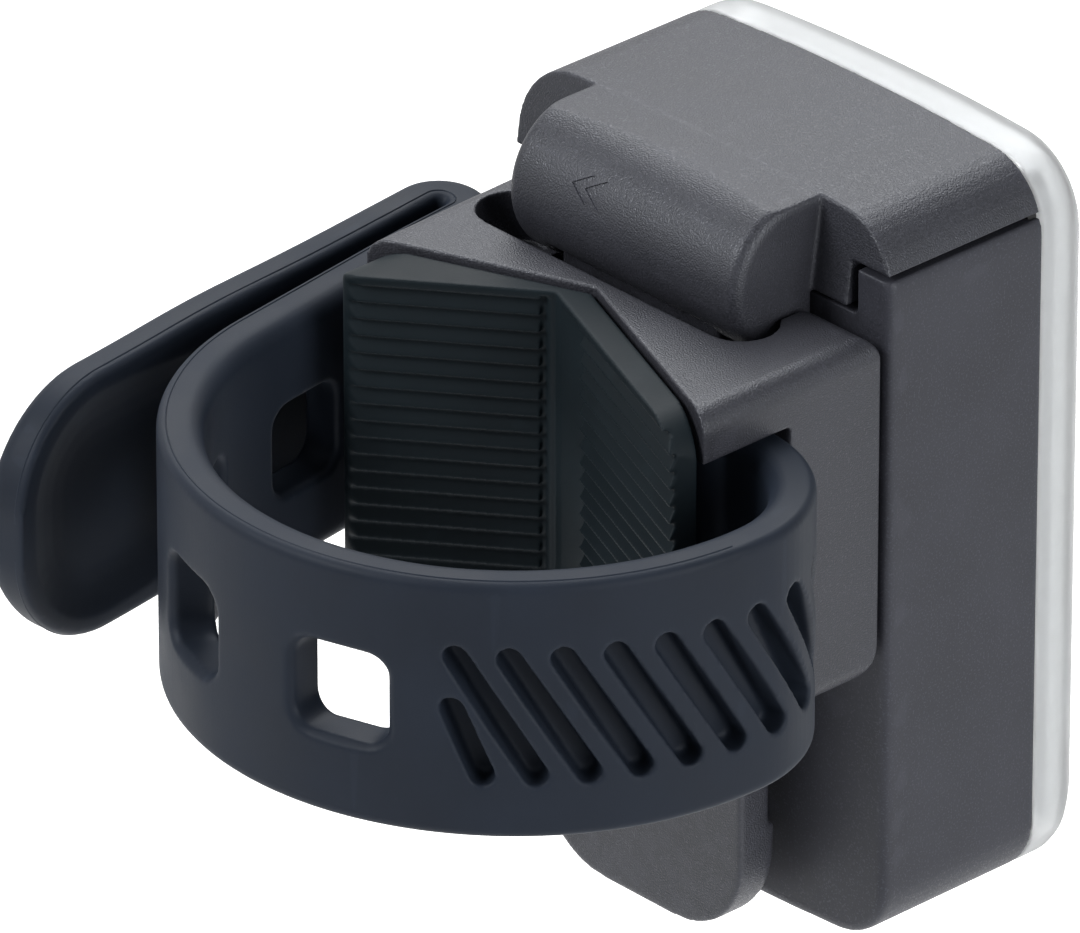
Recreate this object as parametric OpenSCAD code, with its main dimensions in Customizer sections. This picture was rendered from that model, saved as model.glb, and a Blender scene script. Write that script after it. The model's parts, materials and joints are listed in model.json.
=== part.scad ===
// Rechargeable handlebar lamp: a slim lamp with a spring clip, held by a strap bracket.
// Millimetres. The origin is on the handlebar's axis, level with the middle of the strap.
// +Z is up along that axis, and the beam leaves towards -Y.

/* [Lamp] */
// Width of the lamp across the beam
lamp_w = 30.5; // [29:0.5:32]
// Top of the lamp above the strap's middle
lamp_top = 18.8; // [18:0.1:19.5]
// Bottom of the lamp below the strap's middle
lamp_bottom = 28.3; // [27:0.1:30]
// Distance from the handlebar's axis to the lamp's back
lamp_back = 22.6; // [22.5:0.1:22.8]
// Depth of the casing from its back to the lens seam
casing_d = 11.9; // [11.7:0.1:12.5]
// Depth of the lens in front of the seam
lens_d = 4.6; // [4.3:0.1:5]
// Corner radius of the lamp seen from the front
lamp_corner = 4.2; // [3.6:0.1:5]
// Height of the crown on the top and bottom edges
lamp_crown = 0.4; // [0.1:0.1:0.8]
// Wall thickness of the casing
wall = 1.6; // [1.4:0.1:1.8]

/* [Top cover and clip] */
// Height of the parting line between the casing and its top cover
parting_z = 15.4; // [15:0.1:15.8]
// Radius of the round nose that holds the clip's hinge
nose_r = 4.75; // [4.6:0.05:4.8]
// Length of the nose along its axis
nose_w = 18.8; // [18.6:0.2:19.4]
// Width of the clip's tongue
clip_w = 17; // [15:0.5:17.4]
// Distance of the clip from the lamp's middle
clip_x = 0.4; // [0:0.1:0.6]
// Thickness of the clip's tongue
clip_t = 2.3; // [2:0.1:2.4]
// Bottom of the clip below the strap's middle
clip_bottom = 28.9; // [27:0.1:30]
// Angle that the clip opens inside the bracket
clip_open = 2.5; // [1:0.5:3]

/* [Bracket] */
// Half the width of the bracket
bracket_half = 15; // [14.8:0.1:15.2]
// Top of the bracket above the strap's middle
bracket_top = 12; // [11.8:0.1:12.3]
// Bottom of the bracket below the strap's middle
bracket_bottom = 9.8; // [9.4:0.1:10.4]
// Gap between the bracket's back and the lamp
back_gap = 0.4; // [0.3:0.05:0.6]

/* [Handlebar pad] */
// Diameter of the handlebar that the pad is shaped for
bar_d = 22.2; // [21.8:0.1:22.4]
// Slope of the pad's thick arm
thick_slope = 38; // [36:0.5:39]
// Slope of the pad's thin arm
thin_slope = 22; // [21.5:0.5:23]
// Height of one rib
rib_pitch = 1.08; // [0.9:0.01:1.3]
// Depth of one rib
rib_depth = 0.5; // [0.3:0.05:0.55]

/* [Strap] */
// Height of the band
strap_h = 16; // [15:0.5:16.4]
// Thickness of the band
strap_t = 2.7; // [2.4:0.1:2.8]
// Radius of the band's long edges
strap_edge = 0.9; // [0.4:0.1:1.1]
// Size of the square adjusting holes
hole_size = 5.3; // [5:0.1:5.4]
// Distance between adjusting holes
hole_pitch = 11.6; // [11:0.1:11.7]
// Distance between the slanted grooves
groove_pitch = 2.8; // [2.5:0.1:3.2]
// Number of full slanted grooves
groove_count = 9; // [6:1:9]
// Length of the pull tab behind the fold
tab_length = 35.1; // [30:0.1:36]

/* [Hidden] */
$fn = 48;
eps = 0.01;
far = 80;

// Colours, as they look on the object
charcoal = [0.24, 0.25, 0.27];
dark_grey = [0.2, 0.2, 0.22];
rubber_black = [0.1, 0.11, 0.12];
strap_grey = [0.18, 0.2, 0.24];
clear_white = [0.9, 0.92, 0.93, 0.6];
steel = [0.7, 0.71, 0.73];
board_green = [0.1, 0.35, 0.2];

// Places along the beam
seam_y = -lamp_back - casing_d;
lens_front = seam_y - lens_d;
casing_gap = 0.4;
cover_bottom = parting_z + casing_gap / 2;
casing_top = parting_z - casing_gap / 2;
deck_t = 2;
deck_bottom = casing_top - deck_t;
edge_r = 0.5;

// Outline of the lamp seen along the beam, drawn inwards by inset
arc_step = 9;
crown_steps = 8;
function crown_drop(x) = lamp_crown * pow(x / (lamp_w / 2 - lamp_corner), 2);
function lamp_outline(inset = 0, corner = lamp_corner) =
    let (
        r = max(corner - inset, 0.1),
        rim_x = lamp_w / 2 - inset - r,
        top = lamp_top - inset - crown_drop(rim_x) - r,
        low = -lamp_bottom + inset + crown_drop(rim_x) + r
    )
    concat(
        [for (a = [0 : arc_step : 90]) [rim_x + r * cos(a), top + r * sin(a)]],
        [for (k = [1 : crown_steps - 1])
            let (x = rim_x * (1 - 2 * k / crown_steps)) [x, lamp_top - inset - crown_drop(x)]],
        [for (a = [90 : arc_step : 180]) [-rim_x + r * cos(a), top + r * sin(a)]],
        [for (a = [180 : arc_step : 270]) [-rim_x + r * cos(a), low + r * sin(a)]],
        [for (k = [1 : crown_steps - 1])
            let (x = rim_x * (2 * k / crown_steps - 1)) [x, -lamp_bottom + inset + crown_drop(x)]],
        [for (a = [270 : arc_step : 360]) [rim_x + r * cos(a), low + r * sin(a)]]
    );

// Extrudes a shape drawn in X and Z from y towards the beam's end
module along_beam(y, depth) {
    translate([0, y, 0]) rotate([90, 0, 0]) linear_extrude(depth) children();
}

module lamp_slab(y, depth, inset = 0, corner = lamp_corner) {
    along_beam(y, depth) polygon(lamp_outline(inset, corner));
}

// Extrudes a shape drawn in Y and Z across the object, centred on its middle
module across(width) {
    rotate([90, 0, 90]) linear_extrude(width, center = true) children();
}

module rounded_square(size, r) {
    square([size[0] - 2 * r, size[1]], center = true);
    square([size[0], size[1] - 2 * r], center = true);
    for (x = [-1, 1], y = [-1, 1]) {
        translate([x * (size[0] / 2 - r), y * (size[1] / 2 - r)]) circle(r);
    }
}

module box(low, high) {
    translate(low) cube(high - low);
}

// A rod across the object
module cross_rod(r, width, y, z) {
    translate([0, y, z]) rotate([0, 90, 0]) cylinder(r = r, h = width, center = true);
}

// Casing block with its back edges rounded
module lamp_block() {
    hull() {
        lamp_slab(-lamp_back - edge_r, casing_d - edge_r);
        for (a = [30, 60, 90]) {
            lamp_slab(-lamp_back - edge_r * (1 - sin(a)), eps, edge_r * (1 - cos(a)));
        }
    }
}

// Back wall of the casing, with two pips that the clip's tip faces
back_wall = 3.2;
pip_r = 0.7;
pip_h = 0.25;
pip_x = 5;
pip_z = -22.8;
cavity_back = lamp_back + back_wall;
cavity_inset = wall;
cavity_depth = casing_d - back_wall + 1;

// Charging port in the casing's left side
port_z = 7;
port_y = -30.65;
port_w = 8.94;
port_h = 3.2;
flap_size = [7.6, 12.4];
flap_y = -30;
flap_t = 1.2;
flap_bed = 1.4;
port_block = 3.2;

module side_shape(y, z, x_low, depth) {
    translate([x_low, y, z]) rotate([90, 0, 90]) linear_extrude(depth) children();
}

screw_x = 9.8;
screw_y = -27.5;

// Groove for the lens seal, cut into the casing and its cover
module seal_groove() {
    groove_in = [0.4, 1.2];
    difference() {
        lamp_slab(seam_y + 0.7, 2, groove_in[0]);
        lamp_slab(seam_y + 0.8, 3, groove_in[1]);
    }
}

module lamp_body() color(dark_grey) {
    notch_gap = [0.6, 0.35, 0.4];
    difference() {
        union() {
            difference() {
                lamp_block();
                intersection() {
                    lamp_slab(-cavity_back, cavity_depth, cavity_inset);
                    box([-far, -far, -far], [far, 0, deck_bottom]);
                }
            }
            intersection() {
                box([lamp_w / 2 - port_block, flap_y - flap_size[0] / 2 - 1, port_z - flap_size[1] / 2 - 1],
                    [lamp_w / 2 - 1, -cavity_back + 0.5, deck_bottom + 0.5]);
                lamp_slab(-lamp_back - 1, casing_d - 2, 0.5);
            }
        }
        box([-far, -far, casing_top], [far, far, far]);
        box([-tongue_half - notch_gap[0], -lamp_back - tongue_t - notch_gap[1], tongue_z - notch_gap[2]],
            [far, 0, far]);
        side_shape(flap_y, port_z, lamp_w / 2 - flap_bed, 5) rounded_square(flap_size, 1.6);
        side_shape(port_y, port_z, lamp_w / 2 - port_block - 1, 5)
            rounded_square([port_h + 0.9, port_w + 0.9], 1.6);
        seal_groove();
        for (x = [-1, 1]) {
            translate([x * screw_x, screw_y, deck_bottom - 1]) cylinder(r = 1, h = deck_t + 2);
        }
    }
    for (x = [-1, 1]) {
        translate([x * pip_x, -lamp_back - pip_r + pip_h, pip_z]) sphere(r = pip_r);
    }
}

// Back of the top cover: a leaning face that goes down into a notch in the casing, open on the left
tongue_half = 12;
tongue_t = 1.5;
tongue_z = 12.8;
lean_top = -23.1;
lean_low = -22.25;

// Nose of the top cover and the clip's hinge inside it
nose_x = 0.2;
nose_y = -21;
nose_z = lamp_top - nose_r;
nose_edge = 0.8;
nose_root = 3.5;
nose_trim = 0.05;
hinge_y = -20.2;
hinge_z = 13.8;
knuckle_r = 2.5;
knuckle_half = 6.5;
hinge_bore = 3;
pin_r = 1;
pin_fit = 0.05;
pin_half = 8.4;
spring_half = 2.4;

module at_clip() {
    translate([clip_x, 0, 0]) children();
}

module nose_rod() {
    translate([0, nose_y, nose_z]) rotate([0, 90, 0]) rotate_extrude() intersection() {
        rounded_square([2 * nose_r, nose_w], nose_edge);
        translate([0, -far]) square(2 * far);
    }
    translate([0, 0, nose_z]) along_beam(nose_y, nose_y + lamp_back + nose_root)
        rounded_square([nose_w, 2 * nose_r], nose_edge);
}

// The nose follows the cover's crown, and stays clear of the casing below the parting line
module nose() {
    difference() {
        intersection() {
            translate([nose_x, 0, 0]) nose_rod();
            translate([0, 0, -nose_trim]) lamp_slab(0, 2 * lamp_back);
        }
        box([-far, -far, -far], [far, lean_low, tongue_z]);
        box([-far, -far, -far], [far, -lamp_back - tongue_t, cover_bottom + eps]);
    }
}

module cover_back() {
    intersection() {
        lamp_slab(0, far);
        across(far) polygon([
            [lean_top, lamp_top + 1], [lean_top, lamp_top], [lean_low, tongue_z],
            [-lamp_back - tongue_t, tongue_z], [-lamp_back - tongue_t, lamp_top + 1]
        ]);
        union() {
            box([-tongue_half, -far, 0], [far, far, far]);
            box([-far, -far, cover_bottom], [far, far, far]);
        }
    }
}

module top_cover() color(charcoal) {
    tongue_room = [-lamp_back, hinge_y + hinge_bore];
    difference() {
        union() {
            intersection() {
                lamp_slab(-lamp_back - edge_r, casing_d - edge_r - 0.05);
                box([-far, -far, cover_bottom], [far, far, far]);
            }
            cover_back();
            nose();
        }
        at_clip() {
            cross_rod(hinge_bore, 2 * (knuckle_half + 0.3), hinge_y, hinge_z);
            cross_rod(pin_r + pin_fit, 2 * (pin_half + 0.2), hinge_y, hinge_z);
            box([-knuckle_half - 0.3, tongue_room[0], -far],
                [knuckle_half + 0.3, tongue_room[1], hinge_z - 1.5]);
        }
        for (x = [-1, 1]) {
            translate([x * screw_x, screw_y, cover_bottom - 1]) cylinder(r = 0.95, h = 3);
        }
        seal_groove();
    }
}

module cover_gasket() color(rubber_black) {
    ring_in = [1.2, 2.6];
    gasket_t = 0.3;
    translate([0, 0, parting_z - gasket_t / 2]) linear_extrude(gasket_t) difference() {
        translate([-lamp_w / 2 + ring_in[0], seam_y + ring_in[0]])
            square([lamp_w - 2 * ring_in[0], casing_d - ring_in[0] - 2.2]);
        translate([-lamp_w / 2 + ring_in[1], seam_y + ring_in[1]])
            square([lamp_w - 2 * ring_in[1], casing_d - ring_in[1] - 3.6]);
    }
}

module cover_screws() color(steel) {
    for (x = [-1, 1]) translate([x * screw_x, screw_y, 0]) {
        translate([0, 0, deck_bottom - 1.4]) cylinder(r = 1.5, h = 1.35);
        translate([0, 0, deck_bottom - 0.1]) cylinder(r = 0.9, h = 4.1);
    }
}

// Spring clip: knuckle in the nose, tongue through the bracket, barb at the tip
tongue_front = -18.1;
tongue_back = tongue_front - clip_t;
barb_z = -21.5;
barb_d = 0.5;

module clip() color(charcoal) {
    corner = 5.5;
    shoulder_z = 8.6;
    at_clip() difference() {
        union() {
            cross_rod(knuckle_r, 2 * knuckle_half, hinge_y, hinge_z);
            box([-knuckle_half, tongue_back, shoulder_z - 1], [knuckle_half, tongue_front, hinge_z]);
            intersection() {
                across(clip_w) polygon([
                    [tongue_front, shoulder_z], [tongue_front, -clip_bottom], [tongue_back, -clip_bottom],
                    [tongue_back - barb_d, barb_z], [tongue_back, barb_z], [tongue_back, shoulder_z]
                ]);
                translate([0, -10, (shoulder_z - clip_bottom) / 2]) rotate([90, 0, 0]) linear_extrude(20)
                    rounded_square([clip_w, shoulder_z + clip_bottom], corner);
            }
        }
        cross_rod(pin_r + pin_fit, far, hinge_y, hinge_z);
        cross_rod(hinge_bore, 2 * spring_half, hinge_y, hinge_z);
    }
}

module clip_pin() color(steel) {
    at_clip() cross_rod(pin_r, 2 * pin_half, hinge_y, hinge_z);
}

// Torsion spring round the clip's pin, one unbroken wire
wire_r = 0.22;
coil_r = 1.7;
coil_turns = 3.5;
coil_pitch = 0.95;
leg = 1.8;
turn_rings = 12;
wire_sides = 6;
coil_rings = coil_turns * turn_rings;
function coil_point(k) =
    let (a = 360 * k / turn_rings)
    [coil_pitch * (k / turn_rings - coil_turns / 2), coil_r * cos(a), coil_r * sin(a)];
spring_route = concat(
    [coil_point(0) + [0, 0, -leg]],
    [for (k = [0 : coil_rings]) coil_point(k)],
    [coil_point(coil_rings) + [0, 0, -leg]]
);
function unit(v) = v / norm(v);
function route_dir(p, k) = unit(p[min(k + 1, len(p) - 1)] - p[max(k - 1, 0)]);
function wire_ring(p, k) =
    let (
        d = route_dir(p, k),
        u = unit(cross(d, cross([1, 0, 0], d))),
        v = cross(d, u)
    )
    [for (s = [0 : wire_sides - 1])
        p[k] + wire_r * (u * cos(360 * s / wire_sides) + v * sin(360 * s / wire_sides))];

// Closed skin over a row of rings that all have the same number of points
module skin(rings) {
    n = len(rings);
    m = len(rings[0]);
    sides = [for (k = [0 : n - 2], s = [0 : m - 1])
        let (t = (s + 1) % m, a = k * m, b = a + m)
        each [[a + s, b + s, b + t], [a + s, b + t, a + t]]];
    ends = concat(
        [for (s = [1 : m - 2]) [0, s, s + 1]],
        [for (s = [1 : m - 2]) let (a = (n - 1) * m) [a, a + s + 1, a + s]]
    );
    polyhedron([for (ring = rings) each ring], concat(sides, ends));
}

module clip_spring() color(steel) {
    translate([clip_x, hinge_y, hinge_z])
        skin([for (k = [0 : len(spring_route) - 1]) wire_ring(spring_route, k)]);
}

// Lens, light and switch
lens_round = 2.3;
dome = 0.4;
lens_corner = 3.6;
lens_wall = 1.7;
button_z = -20.5;
button_r = 4.1;
cup_z = [9, -6.5];

module lens() color(clear_white) {
    difference() {
        hull() {
            lamp_slab(seam_y - 0.05, lens_d - lens_round - dome);
            for (a = [22.5, 45, 67.5, 90]) {
                lamp_slab(lens_front + dome + lens_round * (1 - sin(a)), eps, lens_round * (1 - cos(a)),
                          lamp_corner + lens_corner * (1 - cos(a)));
            }
            lamp_slab(lens_front + eps, eps, lamp_w / 2 - 5);
        }
        lamp_slab(seam_y + 1, lens_d - lens_wall + 1, 1.6);
        translate([0, 0, button_z]) along_beam(0, far) circle(button_r + 0.3);
    }
}

module lens_gasket() color(rubber_black) {
    difference() {
        lamp_slab(seam_y + 0.65, 0.65, 0.45);
        lamp_slab(seam_y + 1, 2, 1.15);
    }
}

module reflector() color([0.82, 0.83, 0.85]) {
    front = seam_y - 2;
    back = seam_y - 0.15;
    difference() {
        lamp_slab(back, back - front, 1.9);
        for (z = cup_z) {
            translate([0, back + eps, z]) rotate([90, 0, 0]) rotate_extrude() polygon(concat(
                [[0, -1], [2.2, -1]],
                [for (k = [0 : 8]) [2.2 + 4.9 * sqrt(k / 8), (back - front + 2 * eps) * k / 8]],
                [[0, back - front + 2 * eps]]
            ));
        }
        translate([0, 0, button_z]) along_beam(0, far) circle(button_r + 1.4);
    }
}

board_back = seam_y + 2.2;
board_t = 1;
board_front = board_back - board_t;

module circuit_board() color(board_green) {
    difference() {
        lamp_slab(board_back, board_t, wall + 0.6);
        box([-far, -far, deck_bottom - 2], [far, 0, far]);
        box([lamp_w / 2 - port_block - 0.4, -far, port_z - flap_size[1] / 2 - 1.4], [far, 0, far]);
    }
}

module leds() color([0.95, 0.9, 0.6]) {
    for (z = cup_z) translate([0, board_front, z]) {
        translate([-1.6, -0.7, -1.6]) cube([3.2, 0.69, 3.2]);
        translate([0, -1.25, 0]) sphere(r = 1.2);
    }
}

module tact_switch() color([0.15, 0.15, 0.16]) {
    translate([-2.5, board_front - 1, button_z - 2.5]) cube([5, 0.99, 5]);
    translate([0, 0, button_z]) along_beam(board_front - 0.9, 0.3) circle(1.2);
}

module power_button() color([0.75, 0.78, 0.8, 0.8]) {
    lens_inside = seam_y - lens_d + lens_wall;
    translate([0, 0, button_z]) {
        along_beam(lens_inside + 1, 0.9) circle(button_r + 0.8);
        along_beam(lens_inside + 0.5, lens_inside + 0.5 - lens_front + 0.1) circle(button_r);
        along_beam(lens_inside + 1.2, 0.4) circle(1.5);
    }
}

// Charging socket, flap and battery
module usb_socket() color(steel) {
    depth = 7;
    mouth_x = lamp_w / 2 - flap_bed - 1.4;
    difference() {
        side_shape(port_y, port_z, mouth_x - depth, depth) rounded_square([port_h, port_w], 1.5);
        side_shape(port_y, port_z, mouth_x - depth + 1, depth)
            rounded_square([port_h - 0.7, port_w - 0.7], 1.2);
    }
    side_shape(port_y, port_z, mouth_x - depth + 0.5, depth - 1.5) square([0.7, 6.6], center = true);
}

module usb_flap() color(rubber_black) {
    plug_d = 1.2;
    side_shape(flap_y, port_z, lamp_w / 2 - flap_t, flap_t)
        rounded_square([flap_size[0] - 0.6, flap_size[1] - 0.6], 1.3);
    difference() {
        side_shape(port_y - 0.1, port_z, lamp_w / 2 - flap_t - plug_d, plug_d + 0.2)
            rounded_square([port_h - 0.6, port_w - 0.4], 1.2);
        side_shape(port_y - 0.1, port_z, lamp_w / 2 - flap_t - plug_d - 1, plug_d + 0.6)
            rounded_square([1.2, port_w - 2], 0.5);
    }
    translate([lamp_w / 2 - 0.2, flap_y + flap_size[0] / 2 - 1.2, port_z]) rotate([90, 0, 90])
        linear_extrude(0.7) rounded_square([0.9, 6], 0.4);
}

battery_top = 2;
battery_low = -25;
battery_half = 11;
battery_back = cavity_back + 1;
battery_t = 4.4;

module battery() color([0.75, 0.77, 0.8]) {
    r = 1.2;
    translate([0, -battery_back - battery_t / 2, battery_low]) linear_extrude(battery_top - battery_low)
        rounded_square([2 * battery_half, battery_t], r);
}

module battery_pad() color([0.3, 0.3, 0.32]) {
    box([-9.5, -cavity_back - 0.9, battery_low + 1], [9.5, -cavity_back - 0.05, battery_top - 1]);
}

module battery_leads() color([0.6, 0.1, 0.1]) {
    lead_r = 0.45;
    lead_y = -battery_back - battery_t / 2;
    rise = 2;
    for (x = [-6, -4]) translate([x, lead_y, battery_top + 0.02]) {
        cylinder(r = lead_r, h = rise);
        translate([0, 0, rise]) sphere(r = lead_r);
        translate([0, 0, rise]) rotate([90, 0, 0]) cylinder(r = lead_r, h = lead_y - board_back - 0.02);
    }
}

// Bracket
bracket_back = -lamp_back + back_gap;
vertex = [0.35, -14.6];
thin_end = [-bracket_half, -8.5];
thick_end = [13.7, -9.3];
left_back = [14.2, -21.5];
top_fillet = 1.4;
top_corner = 1.3;
low_corner = 2.4;
recess_x = [-10.5, 12.6];
recess_r = 2.2;
recess_front = -15.5;
recess_z = 8.8;
nose_gap = 0.35;
slot_back = tongue_back - barb_d - 0.35;
slot_half = clip_w / 2 + 0.4;
swing_room = 2;
slot_front_top = tongue_front + 0.6;
slot_front_low = slot_front_top + (hinge_z + bracket_bottom) * tan(clip_open + swing_room);
plug_r = 1.3;
plug_h = 3.3;
plug_x = [-5.6, 5.6];

function seat_y(x) = x < vertex[0]
    ? vertex[1] + (vertex[0] - x) * (thin_end[1] - vertex[1]) / (vertex[0] - thin_end[0])
    : vertex[1] + (x - vertex[0]) * (thick_end[1] - vertex[1]) / (thick_end[0] - vertex[0]);

// A sharp corner left over between a block and the round that replaces it
module corner_scrap(r, length) {
    translate([0, 0, -length / 2]) difference() {
        translate([-eps, -eps, 0]) cube([r + eps, r + eps, length]);
        translate([r, r, -1]) cylinder(r = r, h = length + 2);
    }
}

module bracket_block() {
    side_h = bracket_top + bracket_bottom;
    difference() {
        intersection() {
            translate([0, 0, -bracket_bottom]) linear_extrude(side_h) polygon([
                [-bracket_half, bracket_back], thin_end, vertex, thick_end, left_back,
                [left_back[0], bracket_back]
            ]);
            across(far) {
                translate([bracket_back + low_corner, -bracket_bottom]) square([far, side_h]);
                translate([bracket_back, -bracket_bottom + low_corner])
                    square([far, side_h - low_corner - top_corner]);
                translate([bracket_back + low_corner, -bracket_bottom + low_corner]) circle(low_corner);
                translate([bracket_back + top_corner, bracket_top - top_corner]) circle(top_corner);
                translate([bracket_back + top_corner, 0]) square([low_corner, bracket_top]);
            }
        }
        // rounded long edges of the two side walls
        translate([-bracket_half, -15, bracket_top]) rotate([-90, 0, 0]) corner_scrap(top_fillet, 30);
        translate([-bracket_half, -15, -bracket_bottom]) rotate([90, 0, 0]) corner_scrap(top_fillet, 30);
        left_lean = atan2(left_back[0] - thick_end[0], thick_end[1] - left_back[1]);
        translate([left_back[0], left_back[1], bracket_top]) rotate([0, 0, left_lean]) rotate([-90, 0, 180])
            corner_scrap(top_fillet, 40);
    }
}

module hook() {
    peg_root = 5.4;
    peg = [-1.5, 2.1];
    peg_half = 1.9;
    barb = [0.15, 0.6];
    at_strap(hook_s) translate([0, 0, hole_z]) {
        box([peg[0], -peg_root, -peg_half], [peg[1], strap_t / 2 + barb[1], peg_half]);
        box([peg[0], strap_t / 2 + barb[0], -peg_half], [peg[1] + 1, strap_t / 2 + barb[1], peg_half]);
    }
}

module bracket_body() color(charcoal) {
    difference() {
        union() {
            bracket_block();
            hook();
        }
        // mouth for the nose: open at the back, with a round pocket at each end
        translate([0, 0, recess_z]) linear_extrude(far) {
            recess_mid = recess_front - recess_r;
            translate([nose_x - nose_w / 2 - nose_gap, bracket_back - 1])
                square([nose_w + 2 * nose_gap, recess_mid - bracket_back + 1]);
            translate([recess_x[0] + recess_r, recess_mid - recess_r])
                square([recess_x[1] - recess_x[0] - 2 * recess_r, 2 * recess_r]);
            for (x = [recess_x[0] + recess_r, recess_x[1] - recess_r]) {
                translate([x, recess_mid]) circle(recess_r);
            }
        }
        // slot for the clip, opening downwards as the clip swings
        at_clip() across(2 * slot_half) polygon([
            [slot_back, far], [slot_back, -far], [slot_front_low, -far], [slot_front_low, -bracket_bottom],
            [slot_front_top, hinge_z], [slot_front_top, far]
        ]);
        strap_mouth();
        for (k = [0, 1]) {
            translate([plug_x[k], seat_y(plug_x[k]) + 1, 1]) rotate([90, 0, 0])
                cylinder(r = plug_r + 0.1, h = plug_h + 0.3);
        }
        translate([anchor[0], anchor[1], -far])
            cylinder(r = pin_r + 0.02, h = far + band_lift + anchor_half + 0.6);
    }
}

// Ribbed pad between the bracket and the handlebar
bar_r = bar_d / 2 + 0.2;
pad_top = 11.7;
pad_low = -9.9;
pad_gap = 0.3;
rib_top = 11.2;
rib_low = -9.4;
rib_tip = 0.05;
strip_half = [0.85, 3.6];
strip_d = 0.62;
// inner vertex, where the two tangents to the handlebar cross
pad_vertex = let (d = bar_r / cos((thick_slope + thin_slope) / 2), a = (thick_slope - thin_slope) / 2)
    [d * sin(a), -d * cos(a)];
thick_length = 12.8;
thin_length = 17.6;
function thick_point(t) = pad_vertex + t * [cos(thick_slope), sin(thick_slope)];
function thin_point(t) = pad_vertex + t * [-cos(thin_slope), sin(thin_slope)];

// Saw teeth to cut from a face: each tip is at the lower edge of its rib
module rib_cutter(length) {
    count = floor((rib_top - rib_low) / rib_pitch);
    rotate([90, 0, 90]) linear_extrude(length) polygon(concat(
        [[1, rib_low]],
        [for (k = [0 : count - 1])
            let (low = rib_low + k * rib_pitch, high = low + rib_pitch)
            each [[-rib_tip, low], [-rib_tip, low + 0.12], [-rib_depth, high - 0.1], [-rib_depth, high]]],
        [[1, rib_low + count * rib_pitch]]
    ));
}

module bar_pad() color(rubber_black) {
    end_round = 3;
    difference() {
        union() {
            intersection() {
                translate([0, 0, pad_low]) linear_extrude(pad_top - pad_low) polygon([
                    thin_end + [0.15, pad_gap], thin_point(thin_length), pad_vertex,
                    thick_point(thick_length), thick_end + [-0.2, pad_gap], vertex + [0, pad_gap]
                ]);
                translate([(thick_end[0] + thin_end[0]) / 2, 0, (pad_top + pad_low) / 2]) rotate([90, 0, 0])
                    linear_extrude(far, center = true)
                    rounded_square([thick_end[0] - thin_end[0] - 0.2, pad_top - pad_low], end_round);
            }
            for (k = [0, 1]) {
                translate([plug_x[k], seat_y(plug_x[k]) + 1, 1]) rotate([90, 0, 0])
                    cylinder(r = plug_r, h = plug_h);
            }
        }
        // the ribs run out into the strip, so their ends show there as saw teeth
        run_out = 0.3;
        thick_start = thick_point(strip_half[0] - run_out);
        thin_start = thin_point(thin_length + 2);
        translate([thick_start[0], thick_start[1], 0]) rotate([0, 0, thick_slope])
            rib_cutter(thick_length + 2);
        translate([thin_start[0], thin_start[1], 0]) rotate([0, 0, -thin_slope])
            rib_cutter(thin_length + 2 - strip_half[1] + run_out);
        // smooth strip along the bottom of the vee, a little deeper than the ribs
        thick_out = [-sin(thick_slope), cos(thick_slope)];
        thin_out = [sin(thin_slope), cos(thin_slope)];
        translate([0, 0, rib_low - 0.15]) linear_extrude(rib_top - rib_low + 0.3) polygon([
            thick_point(strip_half[0]) + thick_out, thick_point(strip_half[0]) - strip_d * thick_out,
            thin_point(strip_half[1]) - strip_d * thin_out, thin_point(strip_half[1]) + thin_out
        ]);
    }
}

// Strap: a chain of straights and arcs that starts at the anchor pin
anchor = [-11.4, -13.5];
anchor_half = 6.8;
eye_r = 2.1;
curl_r = 7.78;
curl_a = 89.8;
front_r = 18.87;
front_a = 95.9;
side_r = 18.2;
side_a = 75.4;
side_run = 18.95;
fold_r = 1.75;
fold_a = 177;
lead_in = 2.44;
strap_path = [
    ["run", lead_in], ["arc", curl_r, -curl_a], ["arc", front_r, -front_a], ["arc", side_r, -side_a],
    ["run", side_run], ["arc", fold_r, fold_a], ["run", tab_length]
];
tab_corner = 7;
tab_wider = 0.5;
// the band sits a little high at the bar and sags towards the tab
band_lift = 0.5;
sag_start = 50;
sag = 0.0107;
function band_z(s) = band_lift - sag * max(0, s - sag_start);
hole_z = -0.2;
first_hole = 38.4;
hook_s = first_hole + 4 * hole_pitch;
groove_w = 1.3;
groove_d = 1.5;
groove_top = [31.9, 3.35];
groove_low = [27.7, -4];
short_top = [32.1, 0.1];

function path_length(g) = g[0] == "run" ? g[1] : g[1] * abs(g[2]) * PI / 180;
// Pose [x, y, heading] after going s along one stretch
function go(p, g, s) = g[0] == "run"
    ? [p[0] + s * cos(p[2]), p[1] + s * sin(p[2]), p[2]]
    : let (k = sign(g[2]), r = g[1], h = p[2] + k * s / r * 180 / PI)
      [p[0] + k * r * (sin(h) - sin(p[2])), p[1] - k * r * (cos(h) - cos(p[2])), h];
function strap_pose(s, p = [anchor[0], anchor[1], 180], i = 0) =
    let (n = path_length(strap_path[i]))
    s <= n || i == len(strap_path) - 1
        ? go(p, strap_path[i], s)
        : strap_pose(s - n, go(p, strap_path[i], n), i + 1);
function start_of(i) = i == 0 ? 0 : start_of(i - 1) + path_length(strap_path[i - 1]);

// Local X runs along the strap, and local Y points out of the loop
module at_strap(s) {
    p = strap_pose(s);
    translate([p[0], p[1], band_z(s)]) rotate([0, 0, p[2]]) children();
}

// Section of the band, as points across its thickness and up its height
function band_section(h) =
    let (x = strap_t / 2 - strap_edge, y = h / 2 - strap_edge)
    [for (c = [[x, y, 0], [-x, y, 90], [-x, -y, 180], [x, -y, 270]], a = [0, 30, 60, 90])
        [c[0] + strap_edge * cos(c[2] + a), c[1] + strap_edge * sin(c[2] + a)]];
function band_ring(s, h) =
    let (p = strap_pose(s))
    [for (q = band_section(h)) [p[0] - q[0] * sin(p[2]), p[1] + q[0] * cos(p[2]), q[1] + band_z(s)]];

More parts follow.
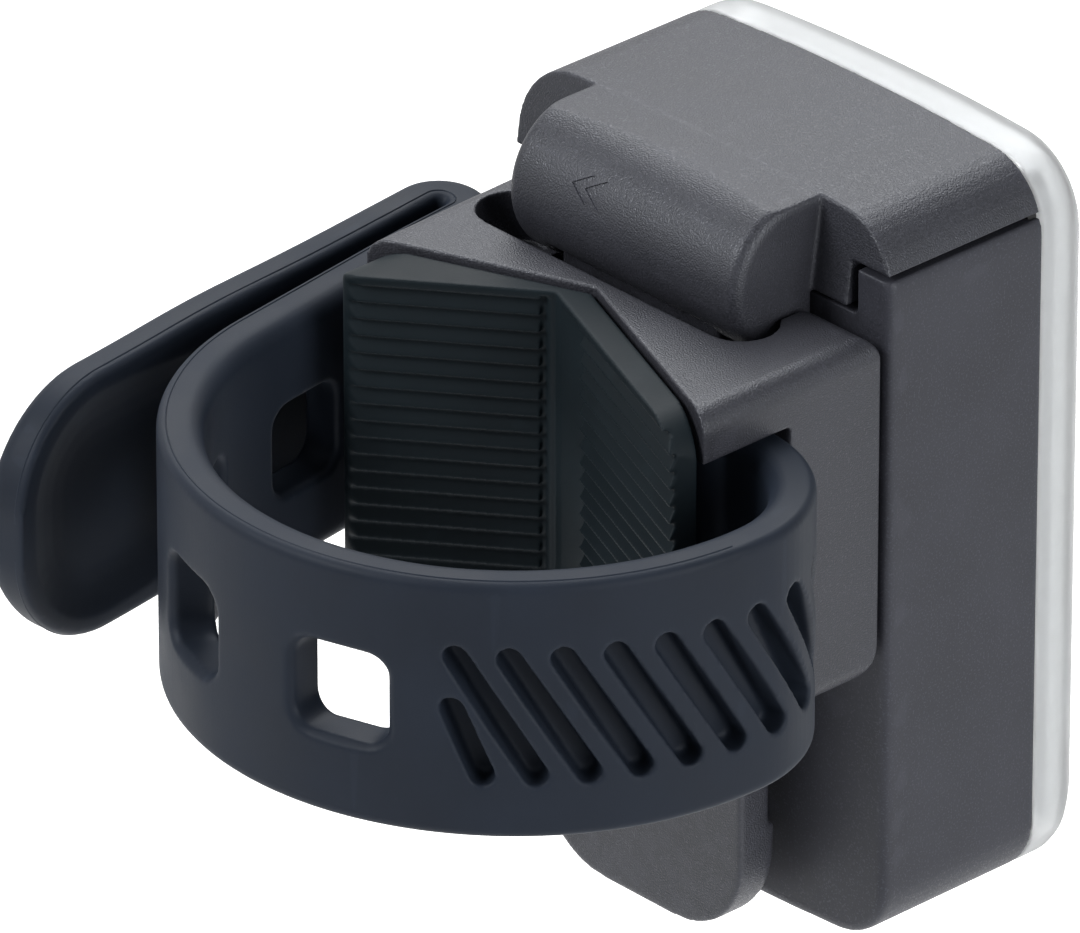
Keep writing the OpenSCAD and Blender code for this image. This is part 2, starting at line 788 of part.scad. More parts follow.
// Stations along the band, each with its height: full up to the tab's round corners
last = len(strap_path) - 1;
arc_turn = 7.5;
function steps(g) = g[0] == "run" ? 1 : ceil(abs(g[2]) / arc_turn);
band_rings = concat(
    [for (i = [0 : last - 1])
        let (g = strap_path[i], n = steps(g))
        each [for (k = [0 : n - 1]) band_ring(start_of(i) + path_length(g) * k / n, strap_h)]],
    [band_ring(start_of(last), strap_h)],
    [for (a = [0 : 15 : 90])
        band_ring(start_of(last) + tab_length - tab_corner * (1 - sin(a)),
                  strap_h + tab_wider - 2 * tab_corner * (1 - cos(a)))]
);

// Room in the bracket for the strap's fixed end, open towards the pad
module strap_mouth() {
    gap = 0.35;
    box([-far, anchor[1] - strap_t / 2 - gap, band_lift - strap_h / 2 - gap],
        [anchor[0] + gap, 0, band_lift + strap_h / 2 + gap]);
    translate([anchor[0], anchor[1], band_lift - anchor_half - gap])
        cylinder(r = eye_r + gap, h = 2 * (anchor_half + gap));
}

module groove(top, low) {
    d = top - low;
    at_strap((top[0] + low[0]) / 2) translate([0, strap_t / 2 - groove_d, (top[1] + low[1]) / 2])
        rotate([0, atan2(d[0], d[1]), 0]) rotate([-90, 0, 0]) linear_extrude(groove_d + 1) {
            square([groove_w, norm(d)], center = true);
            for (k = [-1, 1]) translate([0, k * norm(d) / 2]) circle(groove_w / 2);
        }
}

// Hollow in the tab's inner face, which leaves a rim for the fingers
module tab_dish() {
    rim = 1.4;
    dish_d = 0.8;
    at_strap(start_of(last)) translate([tab_length / 2, strap_t / 2 - dish_d, 0]) rotate([-90, 0, 0])
        linear_extrude(3) rounded_square([tab_length - 2 * rim, strap_h - 2 * rim], tab_corner - rim);
}

module strap() color(strap_grey) {
    difference() {
        union() {
            skin(band_rings);
            translate([anchor[0], anchor[1], band_lift - anchor_half])
                cylinder(r = eye_r, h = 2 * anchor_half);
        }
        translate([anchor[0], anchor[1], -far]) cylinder(r = pin_r + pin_fit, h = 2 * far);
        for (k = [0 : 4]) at_strap(first_hole + k * hole_pitch) translate([0, 0, hole_z]) rotate([90, 0, 0])
            linear_extrude(2 * strap_t - 1.9, center = true) rounded_square([hole_size, hole_size], 1.2);
        for (k = [0 : groove_count - 1]) {
            back = [k * groove_pitch, 0];
            groove(groove_top - back, groove_low - back);
        }
        groove(short_top, groove_low + [groove_pitch, 0]);
        tab_dish();
    }
}

module strap_anchor_pin() color(steel) {
    translate([anchor[0], anchor[1], -bracket_bottom + 0.4])
        cylinder(r = pin_r, h = bracket_bottom + anchor_half + band_lift);
}

bracket_body();
bar_pad();
strap();
strap_anchor_pin();
lamp_body();
top_cover();
cover_gasket();
cover_screws();
clip();
clip_pin();
clip_spring();
lens();
lens_gasket();
reflector();
circuit_board();
leds();
tact_switch();
power_button();
usb_socket();
usb_flap();
battery();
battery_pad();
battery_leads();
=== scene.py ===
"""Bike headlight with its strap bracket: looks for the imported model, in metres, in the part's own frame."""
import json
import math

import bmesh
import bpy
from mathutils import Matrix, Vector


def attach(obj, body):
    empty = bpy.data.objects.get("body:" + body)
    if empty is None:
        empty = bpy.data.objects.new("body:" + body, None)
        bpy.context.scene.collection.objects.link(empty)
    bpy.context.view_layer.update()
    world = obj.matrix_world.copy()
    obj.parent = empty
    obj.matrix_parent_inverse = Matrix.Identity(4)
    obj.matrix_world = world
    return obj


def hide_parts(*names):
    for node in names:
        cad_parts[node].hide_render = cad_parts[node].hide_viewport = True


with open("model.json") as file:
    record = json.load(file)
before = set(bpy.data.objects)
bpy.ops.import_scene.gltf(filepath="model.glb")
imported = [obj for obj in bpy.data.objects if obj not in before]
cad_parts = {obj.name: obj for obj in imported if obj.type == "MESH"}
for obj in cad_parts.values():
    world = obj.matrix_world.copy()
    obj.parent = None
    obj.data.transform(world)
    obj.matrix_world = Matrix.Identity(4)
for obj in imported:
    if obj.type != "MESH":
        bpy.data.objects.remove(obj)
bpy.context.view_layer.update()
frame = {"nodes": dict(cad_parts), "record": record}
nodes = frame["nodes"]
MM = 0.001

# The strap's path and features in millimetres, as in the part's source
ANCHOR = (-11.4, -13.5)
PATH = (("run", 2.44, 0), ("arc", 7.78, -89.8), ("arc", 18.87, -95.9), ("arc", 18.2, -75.4),
        ("run", 18.95, 0), ("arc", 1.75, 177.0), ("run", 34.8, 0))
STRAP_H, STRAP_T = 16.0, 2.7
OUTER_EDGE, INNER_EDGE = 0.55, 1.2
TAB_CORNER, TAB_WIDER = 7.0, 0.5
BAND_LIFT, SAG_START, SAG = 0.5, 50.0, 0.0107
FIRST_HOLE, HOLE_PITCH, HOLES, HOLE_Z = 38.4, 11.6, 5, -0.2
GROOVE_TOP, GROOVE_LOW, SHORT_TOP = (31.9, 3.35), (27.7, -4.0), (32.1, 0.1)
GROOVES, GROOVE_PITCH = 9, 2.8
EYE_R, EYE_BORE, EYE_HALF = 2.1, 1.05, 6.8
TAB_DROP, TAB_DROP_RUN = 0.25, 12
TAB_BOW, TAB_BOW_PLACE, TAB_BOW_RUN = 0.3, 18, 6

# How the edges of the moulded pieces are rounded: voxel in millimetres, smoothing passes, share of faces kept
SKINS = {
    "bracket_body": (0.11, 9, 0.25),
    "top_cover": (0.1, 10, 0.25),
    "lamp_body": (0.2, 4, 0.3),
    "clip": (0.17, 8, 0.5),
    "lens": (0.2, 5, 0.4),
}


# Camera, floor and light

def make_camera():
    """A long lens from behind and above, on the photograph's frame of 1080 by 933."""
    azimuth, elevation = math.radians(227.25), math.radians(28.4)
    back = Vector((math.sin(azimuth) * math.cos(elevation), -math.cos(azimuth) * math.cos(elevation),
                   math.sin(elevation)))
    aim = Vector((-8.05, -2.62, 8.25)) * MM
    focal_px, px_per_mm = 16000, 18.02
    data = bpy.data.cameras.new("camera")
    data.sensor_fit = "HORIZONTAL"
    data.sensor_width = 36
    data.lens = focal_px / 1080 * data.sensor_width
    data.clip_start, data.clip_end = 0.05, 20
    camera = bpy.data.objects.new("camera", data)
    camera.rotation_mode = "QUATERNION"
    camera.location = aim + back * (focal_px / px_per_mm * MM)
    camera.rotation_quaternion = (-back).to_track_quat("-Z", "Y")
    bpy.context.scene.collection.objects.link(camera)
    bpy.context.scene.camera = camera


def add_light(name, place, aim, size, power):
    data = bpy.data.lights.new(name, "AREA")
    data.shape = "RECTANGLE"
    data.size, data.size_y = size
    data.energy = power
    light = bpy.data.objects.new(name, data)
    light.location = place
    light.rotation_mode = "QUATERNION"
    light.rotation_quaternion = (Vector(aim) - Vector(place)).to_track_quat("-Z", "Y")
    bpy.context.scene.collection.objects.link(light)


def seen_directly(tree, mirrored=1.0):
    """1 for camera rays, mirrored for rays from mirrors and glass, and 0 for rays that light a surface."""
    path = tree.nodes.new("ShaderNodeLightPath")
    total = path.outputs["Is Camera Ray"]
    for name in ("Is Glossy Ray", "Is Transmission Ray"):
        share = tree.nodes.new("ShaderNodeMath")
        share.operation = "MULTIPLY"
        share.inputs[1].default_value = mirrored
        tree.links.new(path.outputs[name], share.inputs[0])
        larger = tree.nodes.new("ShaderNodeMath")
        larger.operation = "MAXIMUM"
        tree.links.new(total, larger.inputs[0])
        tree.links.new(share.outputs[0], larger.inputs[1])
        total = larger.outputs[0]
    return total


def make_floor():
    half, level = 4.0, -0.3
    mesh = bpy.data.meshes.new("floor")
    mesh.from_pydata([(-half, -half, level), (half, -half, level), (half, half, level), (-half, half, level)],
                     [], [(0, 1, 2, 3)])
    floor = bpy.data.objects.new("floor", mesh)
    bpy.context.scene.collection.objects.link(floor)
    paint = bpy.data.materials.new("floor_white")
    paint.use_nodes = True
    tree = paint.node_tree
    shader = tree.nodes["Principled BSDF"]
    shader.inputs["Base Color"].default_value = (0.9, 0.9, 0.9, 1)
    shader.inputs["Roughness"].default_value = 0.9
    shader.inputs["Emission Color"].default_value = (1, 1, 1, 1)
    glow = tree.nodes.new("ShaderNodeMath")
    glow.operation = "MULTIPLY"
    glow.inputs[1].default_value = 0.8
    tree.links.new(seen_directly(tree, 0.62), glow.inputs[0])
    tree.links.new(glow.outputs[0], shader.inputs["Emission Strength"])
    mesh.materials.append(paint)


def make_world():
    """White at the horizon where it is seen, darker overhead in reflections, and dim as a light."""
    world = bpy.data.worlds.new("studio")
    world.use_nodes = True
    tree = world.node_tree
    background = tree.nodes["Background"]
    background.inputs["Color"].default_value = (1, 1, 1, 1)
    place = tree.nodes.new("ShaderNodeTexCoord")
    split = tree.nodes.new("ShaderNodeSeparateXYZ")
    tree.links.new(place.outputs["Generated"], split.inputs["Vector"])
    sky = tree.nodes.new("ShaderNodeMapRange")
    for socket, value in (("From Min", 0.05), ("From Max", 0.6), ("To Min", 1.0), ("To Max", 0.35)):
        sky.inputs[socket].default_value = value
    tree.links.new(split.outputs["Z"], sky.inputs["Value"])
    level = tree.nodes.new("ShaderNodeMapRange")
    level.inputs["To Min"].default_value = 0.08
    tree.links.new(sky.outputs["Result"], level.inputs["To Max"])
    tree.links.new(seen_directly(tree), level.inputs["Value"])
    tree.links.new(level.outputs["Result"], background.inputs["Strength"])
    bpy.context.scene.world = world


def make_stage():
    bpy.context.scene.view_settings.view_transform = "Standard"
    make_floor()
    make_world()
    add_light("top_softbox", (0.34, -0.3, 0.62), (0, 0, 0), (0.7, 0.7), 7)
    add_light("right_softbox", (-0.78, -0.05, 0.2), (0, 0, 0), (0.5, 0.6), 4.3)
    add_light("front_softbox", (0.3, 0.62, 0.5), (0, 0, 0), (0.4, 0.4), 5.5)


# Materials

class Paint:
    """A principled material whose colour, gloss and relief vary with the place on the piece."""

    def __init__(self, name, colour, rough, specular=0.5, metallic=0.0):
        self.material = bpy.data.materials.new(name)
        self.material.use_nodes = True
        self.tree = self.material.node_tree
        self.shader = self.tree.nodes["Principled BSDF"]
        self.colour = colour
        self.rough = rough
        self.set("Base Color", (*colour, 1))
        self.set("Roughness", rough)
        self.set("Specular IOR Level", specular)
        self.set("Specular Tint", (0.9, 0.94, 1.0, 1) if metallic == 0 else (1, 1, 1, 1))
        self.set("Metallic", metallic)
        self.place = self.add("ShaderNodeTexCoord").outputs["Object"]

    def set(self, socket, value):
        self.shader.inputs[socket].default_value = value

    def add(self, kind, **settings):
        node = self.tree.nodes.new(kind)
        for key, value in settings.items():
            setattr(node, key, value)
        return node

    def link(self, a, b):
        self.tree.links.new(a, b)

    def noise(self, size_mm, detail=2.0, rough=0.5, stretch=(1, 1, 1)):
        """Noise whose grains are about size_mm across."""
        mapping = self.add("ShaderNodeMapping")
        mapping.inputs["Scale"].default_value = stretch
        self.link(self.place, mapping.inputs["Vector"])
        node = self.add("ShaderNodeTexNoise")
        node.inputs["Scale"].default_value = 1 / (size_mm * MM)
        node.inputs["Detail"].default_value = detail
        node.inputs["Roughness"].default_value = rough
        self.link(mapping.outputs["Vector"], node.inputs["Vector"])
        return node.outputs["Fac"]

    def span(self, value, low, high, start=0.3, end=0.7):
        """Maps value from start..end to low..high."""
        node = self.add("ShaderNodeMapRange")
        for socket, number in (("From Min", start), ("From Max", end), ("To Min", low), ("To Max", high)):
            node.inputs[socket].default_value = number
        self.link(value, node.inputs["Value"])
        return node.outputs["Result"]

    def tone(self, factor, dark, light):
        """Base colour between dark and light times the paint's colour."""
        mix = self.add("ShaderNodeMix", data_type="RGBA")
        mix.inputs["A"].default_value = (*[dark * c for c in self.colour], 1)
        mix.inputs["B"].default_value = (*[light * c for c in self.colour], 1)
        self.link(factor, mix.inputs["Factor"])
        self.link(mix.outputs["Result"], self.shader.inputs["Base Color"])

    def gloss(self, value, swing):
        self.link(self.span(value, self.rough - swing, self.rough + swing), self.shader.inputs["Roughness"])

    def relief(self, value, depth_mm, strength=1.0):
        bump = self.add("ShaderNodeBump")
        bump.inputs["Distance"].default_value = depth_mm * MM
        bump.inputs["Strength"].default_value = strength
        self.link(value, bump.inputs["Height"])
        self.link(bump.outputs["Normal"], self.shader.inputs["Normal"])

    def maths(self, operation, a, b):
        """One calculation on a value and a value or number."""
        node = self.add("ShaderNodeMath", operation=operation)
        self.link(a, node.inputs[0])
        if isinstance(b, (int, float)):
            node.inputs[1].default_value = b
        else:
            self.link(b, node.inputs[1])
        return node.outputs[0]

    def sum(self, a, b, share):
        """a plus share times b."""
        node = self.add("ShaderNodeMath", operation="MULTIPLY_ADD")
        node.inputs[1].default_value = share
        self.link(b, node.inputs[0])
        self.link(a, node.inputs[2])
        return node.outputs[0]

    def edges(self):
        """0 on flat and hollow places, rising to 1 along outer edges, where the paints use it for a painted
        highlight.
        """
        # painted highlight: the outer edges are later painted lighter in the base colour
        return self.span(self.add("ShaderNodeNewGeometry").outputs["Pointiness"], 0, 1, 0.5, 0.58)


def moulded(name, colour, rough, grain_mm, depth_mm, specular=0.5):
    """Moulded plastic with a spark-eroded grain, glossier specks painted lighter as glints, soft mottling and
    a painted highlight along the outer edges.
    """
    p = Paint(name, colour, rough, specular)
    grain = p.noise(grain_mm, 0.0)
    cloud = p.noise(5.0, 3.0)
    # glossier specks of the grain, also painted lighter in the base colour as a painted glint
    painted_glint_specks = p.span(p.noise(1.5 * grain_mm, 0.0), 0, 1, 0.64, 0.72)
    shade = p.sum(p.span(cloud, 0.2, 0.5), p.span(grain, -0.2, 0.2), 1)
    # base colour lighter along the outer edges and at the specks: painted highlight and painted glints
    p.tone(p.sum(p.sum(shade, p.edges(), 0.3), painted_glint_specks, 0.6), 0.7, 1.5)
    p.gloss(p.sum(p.sum(grain, cloud, 0.2), painted_glint_specks, -0.3), 0.1)
    p.relief(grain, depth_mm)
    return p.material


def rubber(name, colour, rough, grain_mm, depth_mm, specular):
    """Smooth rubber with a faint bloom, fine pores, dust and a painted highlight along the outer edges."""
    p = Paint(name, colour, rough, specular)
    bloom = p.noise(7.0, 4.0)
    pores = p.noise(grain_mm, 2.0)
    dust = p.span(p.noise(0.5, 3.0, 0.7), 0, 1, 0.68, 0.78)
    # bloom and dust are the rubber's own; the lighter outer edges are a painted highlight
    p.tone(p.sum(p.sum(p.span(bloom, 0.15, 0.65), dust, 0.25), p.edges(), 0.3), 0.75, 1.35)
    p.gloss(p.sum(bloom, pores, 0.2), 0.07)
    p.relief(pores, depth_mm)
    return p.material


def metal(name, colour, rough, stretch):
    """Bright metal with drawn lines along one direction."""
    p = Paint(name, colour, rough, 0.5, 1.0)
    lines = p.noise(0.12, 2.0, 0.6, stretch)
    p.tone(p.span(lines, 0, 1), 0.8, 1.1)
    p.gloss(lines, 0.1)
    p.relief(lines, 0.004)
    return p.material


def lens_plastic():
    """Clear plastic in front, frosted white round the rim next to the seam."""
    p = Paint("lens_clear", (0.92, 0.94, 0.95), 0.1)
    split = p.add("ShaderNodeSeparateXYZ")
    p.link(p.place, split.inputs["Vector"])
    middle_z, half_x, half_z = -5.05 * MM, 12.9 * MM, 21.2 * MM
    across = p.maths("ABSOLUTE", split.outputs["X"], 0)
    along = p.maths("ABSOLUTE", p.maths("SUBTRACT", split.outputs["Z"], middle_z), 0)
    outside = p.maths("MAXIMUM", p.maths("SUBTRACT", across, half_x), p.maths("SUBTRACT", along, half_z))
    near_seam = p.span(split.outputs["Y"], 0, 1, -38.6 * MM, -37.4 * MM)
    rim = p.maths("MULTIPLY", near_seam, p.span(outside, 0, 1, 0, 1 * MM))
    cloud = p.noise(1.5, 3.0)
    p.link(p.span(rim, 0.95, 0.62, 0, 1), p.shader.inputs["Transmission Weight"])
    p.link(p.span(p.sum(rim, cloud, 0.2), 0.06, 0.42, 0, 1.2), p.shader.inputs["Roughness"])
    p.tone(p.sum(p.span(rim, 1, 0.1, 0, 1), p.span(cloud, -0.1, 0.1), 1), 0.78, 1.0)
    p.relief(p.noise(0.6, 2.0), 0.004)
    return p.material


def circuit_mask():
    """Green solder mask with tinned pads."""
    p = Paint("board", (0.02, 0.12, 0.05), 0.35)
    cells = p.add("ShaderNodeTexVoronoi", feature="F1", distance="CHEBYCHEV")
    cells.inputs["Scale"].default_value = 450
    p.link(p.place, cells.inputs["Vector"])
    pads = p.span(cells.outputs["Distance"], 1, 0, 0.18, 0.2)
    mix = p.add("ShaderNodeMix", data_type="RGBA")
    mix.inputs["A"].default_value = (*p.colour, 1)
    mix.inputs["B"].default_value = (0.6, 0.6, 0.62, 1)
    p.link(pads, mix.inputs["Factor"])
    p.link(mix.outputs["Result"], p.shader.inputs["Base Color"])
    p.link(pads, p.shader.inputs["Metallic"])
    p.relief(pads, 0.03)
    return p.material


def resin(name, colour, rough, grain_mm):
    """Slightly clear resin with a faint cloud."""
    p = Paint(name, colour, rough)
    cloud = p.noise(grain_mm, 3.0)
    p.tone(p.span(cloud, 0, 1), 0.85, 1.1)
    p.gloss(cloud, 0.08)
    p.relief(cloud, 0.01)
    p.set("Transmission Weight", 0.2)
    return p.material


def foil():
    """Creased foil pouch."""
    p = Paint("cell_foil", (0.7, 0.72, 0.75), 0.32, 0.5, 0.9)
    creases = p.noise(2.5, 5.0, 0.6)
    p.tone(p.span(creases, 0, 1), 0.8, 1.05)
    p.gloss(creases, 0.1)
    p.relief(creases, 0.08)
    return p.material


def make_materials():
    return {
        "bracket_plastic": moulded("bracket_plastic", (0.03, 0.031, 0.039), 0.4, 0.1, 0.03, 0.45),
        "casing_plastic": moulded("casing_plastic", (0.03, 0.031, 0.04), 0.5, 0.08, 0.006, 0.38),
        "pad_rubber": rubber("pad_rubber", (0.0065, 0.011, 0.014), 0.5, 0.12, 0.006, 0.15),
        "strap_rubber": rubber("strap_rubber", (0.0145, 0.0195, 0.03), 0.5, 0.1, 0.005, 0.16),
        "seal_rubber": rubber("seal_rubber", (0.03, 0.03, 0.03), 0.7, 0.1, 0.01, 0.3),
        "steel": metal("steel", (0.6, 0.6, 0.62), 0.3, (1, 1, 0.08)),
        "lens_clear": lens_plastic(),
        "bright_plastic": metal("bright_plastic", (0.85, 0.85, 0.87), 0.14, (1, 1, 1)),
        "board": circuit_mask(),
        "led_plastic": resin("led_plastic", (0.9, 0.72, 0.2), 0.25, 0.15),
        "button_plastic": resin("button_plastic", (0.75, 0.78, 0.8), 0.4, 0.8),
        "cell_foil": foil(),
        "lead_plastic": moulded("lead_plastic", (0.5, 0.03, 0.03), 0.45, 0.2, 0.01),
    }


# Shapes

def new_piece(name, mesh):
    piece = bpy.data.objects.new(name, mesh)
    bpy.context.scene.collection.objects.link(piece)
    return piece


def soften(piece, voxel_mm, passes, keep):
    """Rounds a piece's edges as a mould does, and thins the flat places to a share of the faces."""
    weld = piece.modifiers.new("weld", "WELD")
    weld.merge_threshold = 0.001 * MM
    skin = piece.modifiers.new("skin", "REMESH")
    skin.mode = "VOXEL"
    skin.voxel_size = voxel_mm * MM
    skin.use_smooth_shade = True
    smooth = piece.modifiers.new("smooth", "SMOOTH")
    smooth.factor = 0.5
    smooth.iterations = passes
    thin = piece.modifiers.new("thin", "DECIMATE")
    thin.ratio = keep


def apply_modifiers(piece):
    mesh = bpy.data.meshes.new_from_object(piece.evaluated_get(bpy.context.evaluated_depsgraph_get()))
    old = piece.data
    piece.modifiers.clear()
    piece.data = mesh
    bpy.data.meshes.remove(old)


def join(piece, mesh):
    """Adds the mesh to the piece's own and drops it."""
    both = bmesh.new()
    both.from_mesh(piece.data)
    both.from_mesh(mesh)
    both.to_mesh(piece.data)
    both.free()
    bpy.data.meshes.remove(mesh)


def loft(rings):
    """Vertices and faces of a closed skin over rings that all have the same number of points."""
    count = len(rings[0])
    vertices = [p for ring in rings for p in ring]
    faces = []
    for low in range(0, (len(rings) - 1) * count, count):
        high = low + count
        for i in range(count):
            after = (i + 1) % count
            faces.append((low + i, low + after, high + after, high + i))
    faces.append(tuple(range(count - 1, -1, -1)))
    faces.append(tuple(range((len(rings) - 1) * count, len(rings) * count)))
    return vertices, faces


def mesh_of(name, solids):
    """One mesh from several closed skins given in millimetres."""
    vertices, faces = [], []
    for points, polygons in solids:
        start = len(vertices)
        vertices += [[c * MM for c in p] for p in points]
        faces += [[start + i for i in polygon] for polygon in polygons]
    mesh = bpy.data.meshes.new(name)
    mesh.from_pydata(vertices, [], faces)
    sides = bmesh.new()
    sides.from_mesh(mesh)
    bmesh.ops.recalc_face_normals(sides, faces=sides.faces)
    sides.to_mesh(mesh)
    sides.free()
    return mesh


def path_length(stretch):
    kind, size, turn = stretch
    return size if kind == "run" else size * math.radians(abs(turn))


def strap_pose(s):
    """Point and heading on the strap's middle line, s millimetres from its pin."""
    x, y, heading = *ANCHOR, math.pi
    for index, stretch in enumerate(PATH):
        kind, size, turn = stretch
        step = s if index == len(PATH) - 1 else min(s, path_length(stretch))
        if kind == "run":
            x += step * math.cos(heading)
            y += step * math.sin(heading)
        else:
            side = math.copysign(1, turn)
            ahead = heading + side * step / size
            x += side * size * (math.sin(ahead) - math.sin(heading))
            y -= side * size * (math.cos(ahead) - math.cos(heading))
            heading = ahead
        s -= step
        if s <= 0:
            break
    return x, y, heading


TAB_START = sum(path_length(stretch) for stretch in PATH[:-1])
TAB_END = TAB_START + PATH[-1][1]


def ease(x):
    """0 before 0, 1 after 1, and smooth between."""
    x = min(max(x, 0.0), 1.0)
    return x * x * (3 - 2 * x)


def on_strap(s, out, up):
    """Point out of the loop by out and above the band's middle by up. The tab sags and bows a little."""
    x, y, heading = strap_pose(s)
    drop = TAB_DROP * ease((s - TAB_START + TAB_DROP_RUN) / TAB_DROP_RUN)
    lift = BAND_LIFT - SAG * max(0, s - SAG_START) - drop
    out -= TAB_BOW * math.exp(-((s - TAB_START - TAB_BOW_PLACE) / TAB_BOW_RUN) ** 2)
    return x - out * math.sin(heading), y + out * math.cos(heading), up + lift


def rounded_outline(width, height, corner, left_corner=None, steps=8):
    """Points of a rectangle with round corners, round its middle."""
    points = []
    right = corner
    for x, y, start in ((1, 1, 0), (-1, 1, 90), (-1, -1, 180), (1, -1, 270)):
        corner = right if x > 0 or left_corner is None else left_corner
        for k in range(steps + 1):
            a = math.radians(start + 90 * k / steps)
            points.append((x * (width / 2 - corner) + corner * math.cos(a),
                           y * (height / 2 - corner) + corner * math.sin(a)))
    return points


def slot_outline(top, low, width, steps=8):
    """Points of a slanted slot with round ends."""
    slant = math.atan2(top[1] - low[1], top[0] - low[0])
    points = []
    for end, start in ((top, -90), (low, 90)):
        for k in range(steps + 1):
            a = slant + math.radians(start + 180 * k / steps)
            points.append((end[0] + width / 2 * math.cos(a), end[1] + width / 2 * math.sin(a)))
    return points


def strap_cut(rings):
    """A cutter through the band: each ring is an outline along and up the strap, at its own depth."""
    return loft([[on_strap(s, out, up) for s, up in outline] for out, outline in rings])


def band_stations():
    """Places along the band with its height there: full up to the tab's round corners."""
    stations = []
    s, end = 0.0, TAB_END - TAB_CORNER
    while s < end:
        stations.append((s, STRAP_H + TAB_WIDER * ease((s - TAB_START + 6) / 6)))
        s += 0.2 if TAB_START - 6 < s < TAB_START + 1 else 0.5
    for k in range(25):
        a = math.radians(90 * k / 24)
        height = STRAP_H + TAB_WIDER - 2 * TAB_CORNER * (1 - math.cos(a))
        stations.append((end + TAB_CORNER * math.sin(a), height))
    return stations


def band_solid():
    rings = []
    for s, height in band_stations():
        outline = rounded_outline(STRAP_T, height, OUTER_EDGE, INNER_EDGE)
        rings.append([on_strap(s, out, up) for out, up in outline])
    return loft(rings)


def mould_lines():
    """Fine raised lines that the mould leaves along the band's outer edges."""
    middle = STRAP_T / 2 - OUTER_EDGE
    profile = ((-0.09, -0.06), (0, 0.05), (0.09, -0.06))
    lines = []
    for side in (1, -1):
        lines.append(loft([[on_strap(s, middle + out, side * (height / 2 + up)) for out, up in profile]
                           for s, height in band_stations() if s > 16]))
    return lines


def make_strap():
    half = STRAP_T / 2
    cuts = []
    for k in range(HOLES):
        middle = FIRST_HOLE + k * HOLE_PITCH
        rings = []
        for out, size, corner in ((-half - 0.5, 6.4, 1.6), (-half, 6.2, 1.5), (-half + 0.3, 5.7, 1.3),
                                  (half - 0.4, 5.7, 1.3), (half, 6.4, 1.7), (half + 0.7, 6.8, 1.8)):
            rings.append((out, [(middle + s, HOLE_Z + z) for s, z in rounded_outline(size, size, corner)]))
        cuts.append(strap_cut(rings))
    slots = [(SHORT_TOP, (GROOVE_LOW[0] + GROOVE_PITCH, GROOVE_LOW[1]))]
    for k in range(GROOVES):
        back = k * GROOVE_PITCH
        slots.append(((GROOVE_TOP[0] - back, GROOVE_TOP[1]), (GROOVE_LOW[0] - back, GROOVE_LOW[1])))
    groove = ((half - 1.6, 1.0), (half - 1.4, 1.3), (half - 0.1, 1.35), (half + 0.1, 1.5), (half + 0.9, 1.6))
    for top, low in slots:
        cuts.append(strap_cut([(out, slot_outline(top, low, width)) for out, width in groove]))
    middle, length, height = (TAB_START + TAB_END) / 2, TAB_END - TAB_START - 2, STRAP_H + TAB_WIDER - 2
    rings = []
    for out, inset in ((-0.65, 8), (-0.62, 6), (-0.5, 4), (-0.3, 2.2), (-0.1, 0.8), (0.0, 0.2), (0.3, -0.8)):
        outline = rounded_outline(length - inset, height - inset, TAB_CORNER - 1 - inset / 2)
        rings.append((half + out, [(middle + s, z) for s, z in outline]))
    cuts.append(strap_cut(rings))
    piece = new_piece("strap_band", mesh_of("strap_band", [band_solid()]))
    eye_low, eye_high = BAND_LIFT - EYE_HALF, BAND_LIFT + EYE_HALF
    circle = [(math.cos(math.tau * k / 48), math.sin(math.tau * k / 48)) for k in range(48)]
    eye, bore = [loft([[(ANCHOR[0] + r * x, ANCHOR[1] + r * y, z) for x, y in circle] for z in ends])
                 for r, ends in ((EYE_R, (eye_low, eye_high)), (EYE_BORE, (-20, 20)))]
    tools = [("UNION", new_piece("strap_eye", mesh_of("strap_eye", [eye]))),
             ("DIFFERENCE", new_piece("strap_cutter", mesh_of("strap_cutter", [bore] + cuts)))]
    for operation, tool in tools:
        cut = piece.modifiers.new(operation.lower(), "BOOLEAN")
        cut.operation = operation
        cut.solver = "EXACT"
        cut.use_self = True
        cut.object = tool
    soften(piece, 0.16, 3, 0.36)
    apply_modifiers(piece)
    for operation, tool in tools:
        bpy.data.meshes.remove(tool.data)
    join(piece, mesh_of("mould_lines", mould_lines()))
    return piece


def copy_soft(name, node, voxel_mm, passes, keep, cutter=None):
    """A soft piece moulded over its CAD solid, less the cutter."""
    piece = new_piece(name, nodes[node].data.copy())
    if cutter:
        weld = piece.modifiers.new("weld_solid", "WELD")
        weld.merge_threshold = 0.001 * MM
        cut = piece.modifiers.new("cut", "BOOLEAN")
        cut.solver = "EXACT"
        cut.object = cutter
    soften(piece, voxel_mm, passes, keep)
    apply_modifiers(piece)
    if cutter:
        bpy.data.meshes.remove(cutter.data)
    return piece


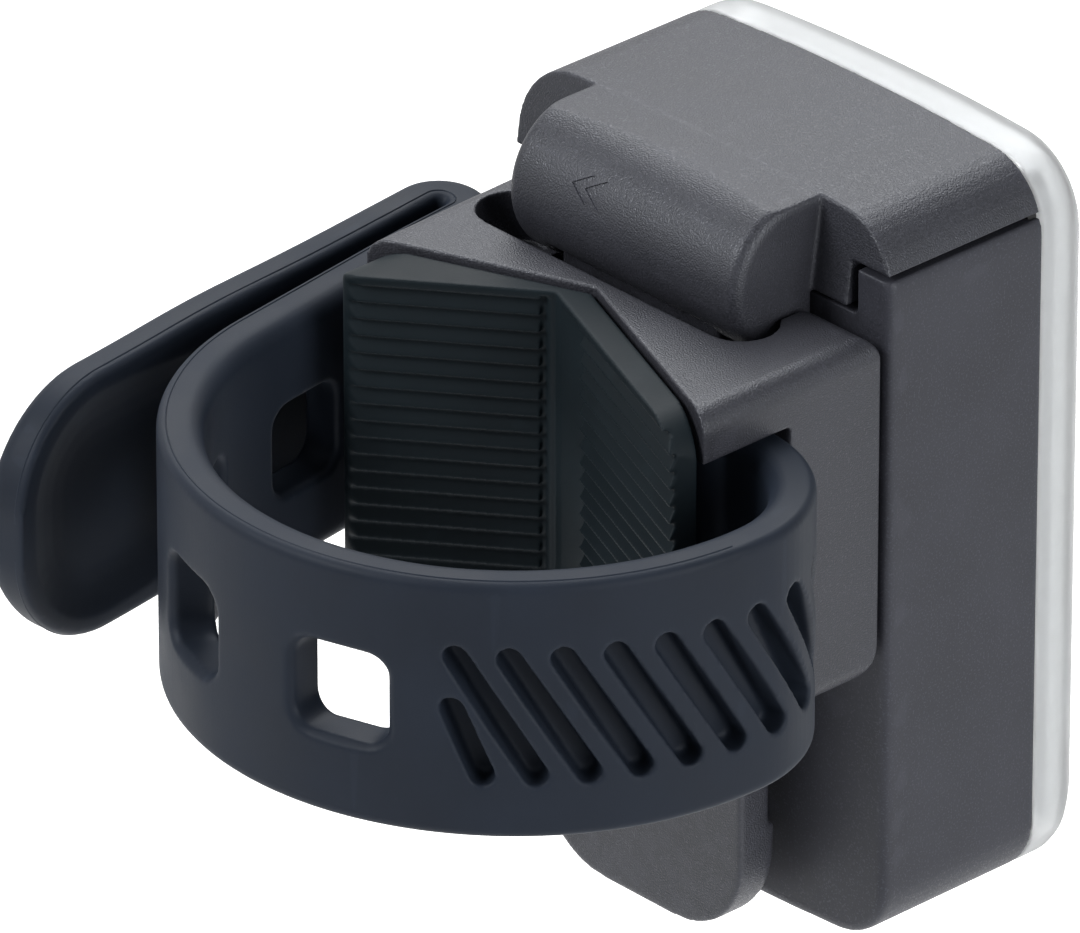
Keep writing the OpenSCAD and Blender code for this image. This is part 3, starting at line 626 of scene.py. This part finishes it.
def tip_cutter():
    """Takes the sharp upright edge off the seat's arm on the hook's side."""
    tip, radius = Vector((11.9, -5.04)), 1.4
    along = Vector((-math.cos(math.radians(38)), -math.sin(math.radians(38))))
    down = (Vector((13.5, -9.0)) - tip).normalized()
    inward = (along + down).normalized()
    half = along.angle(down) / 2
    middle = tip + inward * (radius / math.sin(half))
    start = tip + along * (radius / math.tan(half))
    end = tip + down * (radius / math.tan(half))
    first = math.atan2(start.y - middle.y, start.x - middle.x)
    last = math.atan2(end.y - middle.y, end.x - middle.x)
    turn = (last - first + math.pi) % math.tau - math.pi
    outline = [tuple(start - inward * 4)]
    for k in range(13):
        a = first + turn * k / 12
        outline.append((middle.x + radius * math.cos(a), middle.y + radius * math.sin(a)))
    outline.append(tuple(end - inward * 4))
    rings = [[(x, y, z) for x, y in outline] for z in (-14, 16)]
    return new_piece("tip_cutter", mesh_of("tip_cutter", [loft(rings)]))


def nose_chevrons():
    """Two plain raised chevrons on the nose that point to the charging side."""
    axis_y, axis_z, radius, middle = -21.0, 14.05, 4.75, math.radians(27.6)
    tips, arm_back, arm_up, steps = (4.67, 3.6), 1.3, 0.85, 6
    profile = ((-0.17, -0.1), (-0.11, 0.09), (0.11, 0.09), (0.17, -0.1))
    chevrons = []
    for tip in tips:
        rings = []
        for k in range(-steps, steps + 1):
            x, a = tip - arm_back * abs(k) / steps, middle + arm_up * k / steps / radius
            ring = []
            for across, rise in profile:
                r = radius + rise
                ring.append((x + across, axis_y + r * math.cos(a), axis_z + r * math.sin(a)))
            rings.append(ring)
        chevrons.append(loft(rings))
    return new_piece("nose_chevrons", mesh_of("nose_chevrons", chevrons))


def dress(piece, node, body, paint):
    piece.data.materials.clear()
    piece.data.materials.append(paint)
    if node:
        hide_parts(node)
    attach(piece, body)


make_camera()
make_stage()
paints = make_materials()
for part in frame["record"]["subparts"]:
    data = nodes[part["node"]].data
    data.materials.clear()
    data.materials.append(paints[part["material_slot"]])
for node, skin in SKINS.items():
    soften(nodes[node], *skin)
dress(make_strap(), "strap", "bracket", paints["strap_rubber"])
seat = copy_soft("bar_seat", "bar_pad", 0.12, 3, 0.4, tip_cutter())
dress(seat, "bar_pad", "bracket", paints["pad_rubber"])
foam = copy_soft("cell_foam", "battery_pad", 0.2, 4, 0.1)
dress(foam, "battery_pad", "lamp", paints["seal_rubber"])
dress(nose_chevrons(), None, "lamp", paints["bracket_plastic"])
flap = copy_soft("port_flap", "usb_flap", 0.12, 5, 0.5)
dress(flap, "usb_flap", "flap", paints["pad_rubber"])
